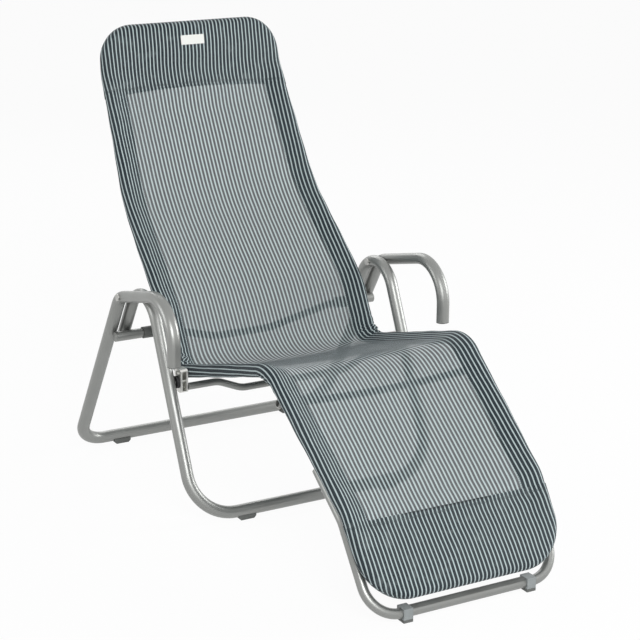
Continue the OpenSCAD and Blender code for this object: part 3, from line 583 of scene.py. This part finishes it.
def moulded(name, colour, rough=0.6):
    """Moulded rubber or plastic with a fine spark grain"""
    m = Look(name)
    where = m.place()
    grain = m.noise(where, 1500, 2)
    patch = m.noise(where, 24, 3)
    tone = m.mix(m.span(patch, 0.3, 0.7, 0.0, 0.3), colour, [min(1, c * 1.7 + 0.01) for c in colour])
    m.join(tone, m.shader.inputs["Base Color"])
    m.join(m.span(patch, 0.3, 0.7, rough - 0.07, rough + 0.1), m.shader.inputs["Roughness"])
    m.set(Specular_IOR_Level=0.4)
    m.bump(grain, 0.25, 0.0003)
    return m.material


def zinc(name, colour):
    """Zinc plate, brushed and a little uneven"""
    m = Look(name)
    where = m.place()
    patch = m.noise(where, 90, 3)
    tone = m.mix(m.span(patch, 0.3, 0.7, 0.0, 0.4), colour, [c * 0.7 for c in colour])
    m.join(tone, m.shader.inputs["Base Color"])
    m.join(m.span(patch, 0.3, 0.7, 0.28, 0.42), m.shader.inputs["Roughness"])
    m.set(Metallic=0.9)
    m.bump(m.noise(where, 700, 2), 0.15, 0.0003)
    return m.material


def label_cloth(name, colour):
    """Tight white ribbon weave"""
    m = Look(name)
    where = m.place()
    fine = m.noise(where, 1800, 2)
    broad = m.noise(where, 60, 2)
    tone = m.mix(m.span(fine, 0.3, 0.7, 0.0, 0.3), colour, [c * 0.86 for c in colour])
    tone = m.mix(m.span(broad, 0.3, 0.7, 0.0, 0.2), tone, [c * 0.92 for c in colour])
    m.join(tone, m.shader.inputs["Base Color"])
    m.join(m.span(fine, 0.3, 0.7, 0.7, 0.85), m.shader.inputs["Roughness"])
    m.set(Sheen_Weight=0.1, Specular_IOR_Level=0.25)
    m.bump(fine, 0.3, 0.0003)
    return m.material


class LOUNGER_OT_finishes(bpy.types.Operator):
    """Gives every tube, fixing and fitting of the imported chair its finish"""

    bl_idname = "lounger.finishes"
    bl_label = "Finishes"

    def execute(self, context):
        finish = sizes("finish")
        looks = {
            "powder_coat": coat("silver powder coat", finish.silver),
            "fixing": zinc("zinc plate", finish.steel),
            "clip": moulded("pale moulded clip", finish.clip, 0.45),
            "spacer": moulded("black spacer", finish.spacer, 0.5),
            "rubber": moulded("dark rubber", finish.rubber),
            "cloth": mesh_cloth("cloth under the sling"),
            "label": label_cloth("white ribbon", finish.label),
            "bracket": zinc("bright bracket", [min(1, c * 1.4) for c in finish.steel]),
        }
        for part in frame["record"]["subparts"]:
            obj = frame["nodes"][part["node"]]
            obj.data.materials.clear()
            bracket = part["node"] in ("bracket_left", "bracket_right")
            obj.data.materials.append(looks["bracket" if bracket else part["material_slot"]])
        return {"FINISHED"}


class LOUNGER_OT_sling(bpy.types.Operator):
    """Makes the sling: one sheet from hem to hem, round both rails and sewn to itself"""

    bl_idname = "lounger.sling"
    bl_label = "Sling"

    def execute(self, context):
        cloth = sizes("cloth")
        rail = Rail()
        r = sizes("rails").tube / 2 + cloth.wrap
        under, row, fade, hem_drop = 0.014, 0.007, 0.06, 0.0012
        start = cloth.foot_pocket - under
        end = rail.length - cloth.head_pocket + under
        marks = row_of_marks(rail, start, end, row)
        halves = [rail.half(s) for s in marks]
        outlines = [sleeve_outline(half, cloth.hem, r) for half in halves]
        last = len(outlines[0]) - 1

        def place(i, j):
            s, half = marks[j], halves[j]
            side = 1 if i >= last else -1
            spot = abs(i - last)
            x, n = outlines[j][spot][:2]
            lift = 0
            if spot <= FLAT_STEPS:
                share = x / (half - cloth.hem)
                n -= cloth.sag * (1 - share ** 2) * smooth(min(1, (s - start) / fade, (end - s) / fade))
                lift = 1 - share ** 4
            else:
                x, n = self.gathered(rail, s, side, half, x, n)
            if spot == last:
                n -= hem_drop
            return rail.point(s, side * x, n, lift, cloth.bridge)

        def flat(i, j):
            side = 1 if i >= last else -1
            return side * outlines[j][abs(i - last)][2], marks[j]

        def sewn(i, j):
            return outlines[j][abs(i - last)][2] - (halves[j] - cloth.hem), marks[j]

        obj = cloth_piece("sling_cloth", 2 * last, len(marks) - 1, place, flat, sewn)
        # The seat's stretch gets painted shade in the striped mesh: narrower pale stripes, so that it reads
        # darker
        seat = (rail.parts[SEAT][0] + 0.03, rail.parts[SEAT_BEND][0], 0.05)
        obj.data.materials.append(mesh_cloth("striped mesh", seams=True, shaded_stretch=seat))
        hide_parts("sling", "sleeve_left", "sleeve_right")
        width = 2 * sleeve_outline(sum(halves) / len(halves), cloth.hem, r)[-1][2]
        return {"FINISHED"}

    @staticmethod
    def gathered(rail, s, side, half, x, n):
        """Draws a point of the sleeve out into gathers, on top at the seat's bend and below at the knee"""
        cloth = sizes("cloth")
        seat_reach, knee_reach, knee_share, pitch = 0.034, 0.04, 0.4, 0.0115
        out = Vector((x - half, n))
        upper = smooth(0.5 + out.y / out.length * 0.9)
        at_seat = math.exp(-(((s - rail.middle(SEAT_BEND)) / seat_reach) ** 2)) * upper
        at_knee = math.exp(-(((s - rail.middle(KNEE_BEND)) / knee_reach) ** 2)) * (1 - upper) * knee_share
        beat = (s + 0.002 * side) * 2 * math.pi / pitch + side + 1.2 * math.sin(s * 83)
        wave = (0.5 + 0.5 * math.sin(beat)) * (0.75 + 0.25 * math.sin(s * 211))
        slack = 0.0006 * math.sin(s * 61 + side) * math.sin(s * 23)
        past_seam = smooth((x - (half - cloth.hem)) / cloth.hem * 1.6)
        puff = cloth.ruffle * wave * (at_seat + at_knee) * past_seam + slack * past_seam
        out *= 1 + puff / out.length
        return half + out.x, out.y


def pocket_outline(half, thick, front, back):
    """Closed section of a pocket from its right edge, over the front to the left edge and behind: [x, n]"""
    hollow = 3.2
    flat = half - thick
    quarter = EDGE_STEPS // 2

    def edge(middle, start, steps):
        turns = [start + math.pi / EDGE_STEPS * k for k in range(steps + 1)]
        return [(middle + thick * math.cos(a), thick * math.sin(a)) for a in turns]

    def side(sign, level):
        spots = [sign * flat * (1 - 2 * k / SIDE_STEPS) for k in range(1, SIDE_STEPS)]
        rim = sign * thick
        return [(x, rim + (level - rim) * (1 - (abs(x) / flat) ** hollow)) for x in spots]

    spots = edge(flat, 0, quarter) + side(1, front) + edge(-flat, math.pi / 2, EDGE_STEPS)
    return spots + side(-1, back) + edge(flat, -math.pi / 2, quarter)


class LOUNGER_OT_pockets(bpy.types.Operator):
    """Makes the head and the foot pocket: socks over the ends of the frame, sewn to the sling"""

    bl_idname = "lounger.pockets"
    bl_label = "Head and foot pocket"

    def execute(self, context):
        rail = Rail()
        rails = sizes("rails")
        cloth = sizes("cloth")
        self.make("head_sock", "head_pocket", rail, rail.length, 1, cloth.head_pocket, rails.head_corner)
        self.make("foot_sock", "foot_pocket", rail, 0, -1, cloth.foot_pocket, rails.foot_corner)
        return {"FINISHED"}

    @staticmethod
    def lay(x, n, middle, laid):
        """Lays a point near the pocket's edge on the sling, the flap and the sleeve below it"""
        if abs(x) > middle:
            return x, n
        cloth = sizes("cloth")
        clear = 0.0007
        height = sleeve_top(middle, cloth.hem, sizes("rails").tube / 2 + cloth.wrap, abs(x)) + clear
        return x, n + (math.copysign(height, n) - n) * laid

    def make(self, name, node, rail, bar, sense, length, corner):
        """Makes one pocket over the end tube at the mark bar. sense is 1 at the head and -1 at the foot"""
        cloth = sizes("cloth")
        r = sizes("rails").tube / 2 + cloth.pocket_play
        least, gap, fill, laid_length, crease_ease = 0.0002, 0.0014, 0.94, 0.035, 0.03
        low = cloth.sag * 0.35
        turns = [math.pi / 2 / END_ROWS * k for k in range(1, END_ROWS + 1)]
        straight = [length * k / POCKET_ROWS for k in range(POCKET_ROWS + 1)]
        depths = straight + [length + r * math.sin(a) for a in turns]
        lengths = straight + [length + r * a for a in turns]

        def ring(d):
            """Mark along the rail, half width and outline of the pocket at depth d"""
            s = bar - sense * (length - d)
            half = rail.half(s) + r
            past = d - (length - corner)
            if past > 0:
                half -= corner + r - math.sqrt(max(0, (corner + r) ** 2 - past * past))
            thick = max(least, math.sqrt(max(0, r * r - max(0, d - length) ** 2)))
            rise = smooth(d / (length - r)) ** 0.8
            front = min(thick, gap - low + (thick * fill + low - gap) * rise)
            back = max(-thick, -gap - low - (thick * fill - low - gap) * rise)
            outline = pocket_outline(half, thick, front, back)
            laid = 1 - smooth(d / laid_length)
            if laid > 0:
                outline = [self.lay(x, n, half - r, laid) for x, n in outline]
            return s, half, outline

        rings = [ring(d) for d in depths]
        count = len(rings[0][2]) - 1

        def place(i, j):
            s, half, outline = rings[j]
            x, n = outline[i]
            bow = max(0, sense) * cloth.pocket_bow * (1 - min(1, (x / half) ** 2))
            bow -= sense * cloth.skew * x / half
            bow *= 1 - smooth(depths[j] / length)
            crease = 0.0007 * math.sin(x * 31 + depths[j] * 55) * math.sin(depths[j] * 47 + 1.3)
            crease *= smooth(depths[j] / crease_ease) * smooth((length - depths[j]) / crease_ease)
            return rail.point(s + sense * bow, x, n + crease)

        def flat(i, j):
            outline = rings[j][2]
            middle = count // 4 if i <= count // 2 else 3 * count // 4
            first, last = sorted((i, middle))
            run = sum(math.dist(outline[k], outline[k + 1]) for k in range(first, last))
            return math.copysign(run, outline[i][0]), lengths[j]

        obj = cloth_piece(name, count, len(depths) - 1, place, flat)
        title = name.replace("_", " ") + " mesh"
        obj.data.materials.append(mesh_cloth(title, hems=(0.009, 0.0115), mottle=0.5))
        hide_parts(node)
        width = 2 * flat(0, 0)[0]


class LOUNGER_OT_label(bpy.types.Operator):
    """Makes the bare label tag on the head pocket"""

    bl_idname = "lounger.label"
    bl_label = "Label tag"

    def execute(self, context):
        low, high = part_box("label_tag")
        width, height, thick, corner = high.x - low.x, 0.021, 0.0006, 0.0012
        aside, down = 0.007, 0.002
        rise = sizes("rails").rises[HEAD_RISE]
        middle = (low + high) / 2 - Vector((aside, down * math.cos(rise), down * math.sin(rise)))
        bm = bmesh.new()
        bmesh.ops.create_cube(bm, size=1)
        bmesh.ops.scale(bm, vec=(width, height, thick), verts=bm.verts)
        upright = [e for e in bm.edges if abs(e.verts[0].co.z - e.verts[1].co.z) > 1e-5]
        bmesh.ops.bevel(
            bm, geom=upright, offset=corner, offset_type="OFFSET", segments=3, profile=0.5,
            affect="EDGES", material=-1,
        )
        bmesh.ops.rotate(bm, verts=bm.verts, matrix=Matrix.Rotation(rise, 3, "X"))
        bmesh.ops.translate(bm, verts=bm.verts, vec=middle)
        obj = finished(bm, "white_label")
        obj.data.materials.append(label_cloth("label ribbon", sizes("finish").label))
        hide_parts("label_tag")
        return {"FINISHED"}


class LOUNGER_OT_stage(bpy.types.Operator):
    """Sets the camera, the soft light and the white floor"""

    bl_idname = "lounger.stage"
    bl_label = "Floor, light and camera"

    def execute(self, context):
        view = sizes("view")
        scene = context.scene
        level = math.cos(view.pitch)
        aim = Vector((math.sin(view.yaw) * level, math.cos(view.yaw) * level, math.sin(view.pitch)))
        right = Vector((math.cos(view.yaw), -math.sin(view.yaw), 0))
        up = right.cross(aim)
        turned = math.cos(view.roll) * right + math.sin(view.roll) * up
        upright = math.cos(view.roll) * up - math.sin(view.roll) * right
        camera = bpy.data.cameras.new("photo camera")
        camera.lens = view.lens
        camera.sensor_width = 36
        camera.clip_end = 50
        holder = bpy.data.objects.new("photo camera", camera)
        holder.matrix_world = Matrix((
            (turned.x, upright.x, -aim.x, view.eye[0]),
            (turned.y, upright.y, -aim.y, view.eye[1]),
            (turned.z, upright.z, -aim.z, view.eye[2]),
            (0, 0, 0, 1),
        ))
        scene.collection.objects.link(holder)
        scene.camera = holder
        scene.view_settings.view_transform = "Standard"
        self.sky(scene, view.world)
        for lamp in LAMPS:
            self.lamp(*lamp)
        self.floor()
        return {"FINISHED"}

    def sky(self, scene, strength):
        """White where it is seen, and an even light at the given strength elsewhere"""
        world = bpy.data.worlds.new("studio")
        m = Nodes(world)
        light, seen = [m.add("ShaderNodeBackground") for _ in range(2)]
        for node, value in ((light, strength), (seen, 1)):
            node.inputs["Color"].default_value = (1, 1, 1, 1)
            node.inputs["Strength"].default_value = value
        mix = m.add("ShaderNodeMixShader")
        m.join(m.seen_rays(), mix.inputs[0])
        m.join(light.outputs[0], mix.inputs[1])
        m.join(seen.outputs[0], mix.inputs[2])
        m.join(mix.outputs[0], m.add("ShaderNodeOutputWorld").inputs["Surface"])
        scene.world = world

    def lamp(self, name, spot, target, size, power):
        data = bpy.data.lights.new(name, "AREA")
        data.shape = "DISK"
        data.size = size
        data.energy = power
        obj = bpy.data.objects.new(name, data)
        turn = (Vector(target) - Vector(spot)).to_track_quat("-Z", "Y")
        obj.matrix_world = Matrix.Translation(spot) @ turn.to_matrix().to_4x4()
        bpy.context.scene.collection.objects.link(obj)

    def floor(self):
        """White where it is seen, a little less so that the object's shadow shows on it"""
        half_width, glow_share = 9, 0.95
        bm = bmesh.new()
        bmesh.ops.create_grid(bm, x_segments=1, y_segments=1, size=half_width)
        obj = linked(bm, "studio_floor")
        m = Look("white floor")
        m.set(Base_Color=(0.86, 0.86, 0.86, 1), Roughness=0.9, Specular_IOR_Level=0.1)
        glow = m.add("ShaderNodeEmission")
        glow.inputs["Color"].default_value = (1, 1, 1, 1)
        mix = m.add("ShaderNodeMixShader")
        m.join(m.sum("MULTIPLY", m.seen_rays(), glow_share), mix.inputs[0])
        m.join(m.shader.outputs["BSDF"], mix.inputs[1])
        m.join(glow.outputs[0], mix.inputs[2])
        m.join(mix.outputs[0], m.out.inputs["Surface"])
        obj.data.materials.append(m.material)


class LOUNGER_PT_sidebar(bpy.types.Panel):
    """Lists the lounger's steps"""

    bl_idname = "LOUNGER_PT_sidebar"
    bl_label = "Folding reclining chair"
    bl_space_type = "VIEW_3D"
    bl_region_type = "UI"
    bl_category = "Lounger"

    def draw(self, context):
        for operator in OPERATORS:
            self.layout.operator(operator.bl_idname)
        for name in GROUPS:
            group = sizes(name)
            box = self.layout.box()
            for key in group.__annotations__:
                box.prop(group, key)


OPERATORS = (LOUNGER_OT_stage, LOUNGER_OT_finishes, LOUNGER_OT_sling, LOUNGER_OT_pockets, LOUNGER_OT_label)
GROUPS = {"rails": LoungerRails, "cloth": LoungerCloth, "finish": LoungerFinish, "view": LoungerView}


def register():
    for kind in (*GROUPS.values(), *OPERATORS, LOUNGER_PT_sidebar):
        bpy.utils.register_class(kind)
    for name, group in GROUPS.items():
        setattr(bpy.types.Scene, "lounger_" + name, bpy.props.PointerProperty(type=group))


def unregister():
    for name in GROUPS:
        delattr(bpy.types.Scene, "lounger_" + name)
    for kind in reversed((*GROUPS.values(), *OPERATORS, LOUNGER_PT_sidebar)):
        bpy.utils.unregister_class(kind)


def main():
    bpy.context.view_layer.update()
    register()
    bpy.ops.lounger.stage()
    bpy.ops.lounger.finishes()
    bpy.ops.lounger.sling()
    bpy.ops.lounger.pockets()
    bpy.ops.lounger.label()


if __name__ == "__main__":
    main()
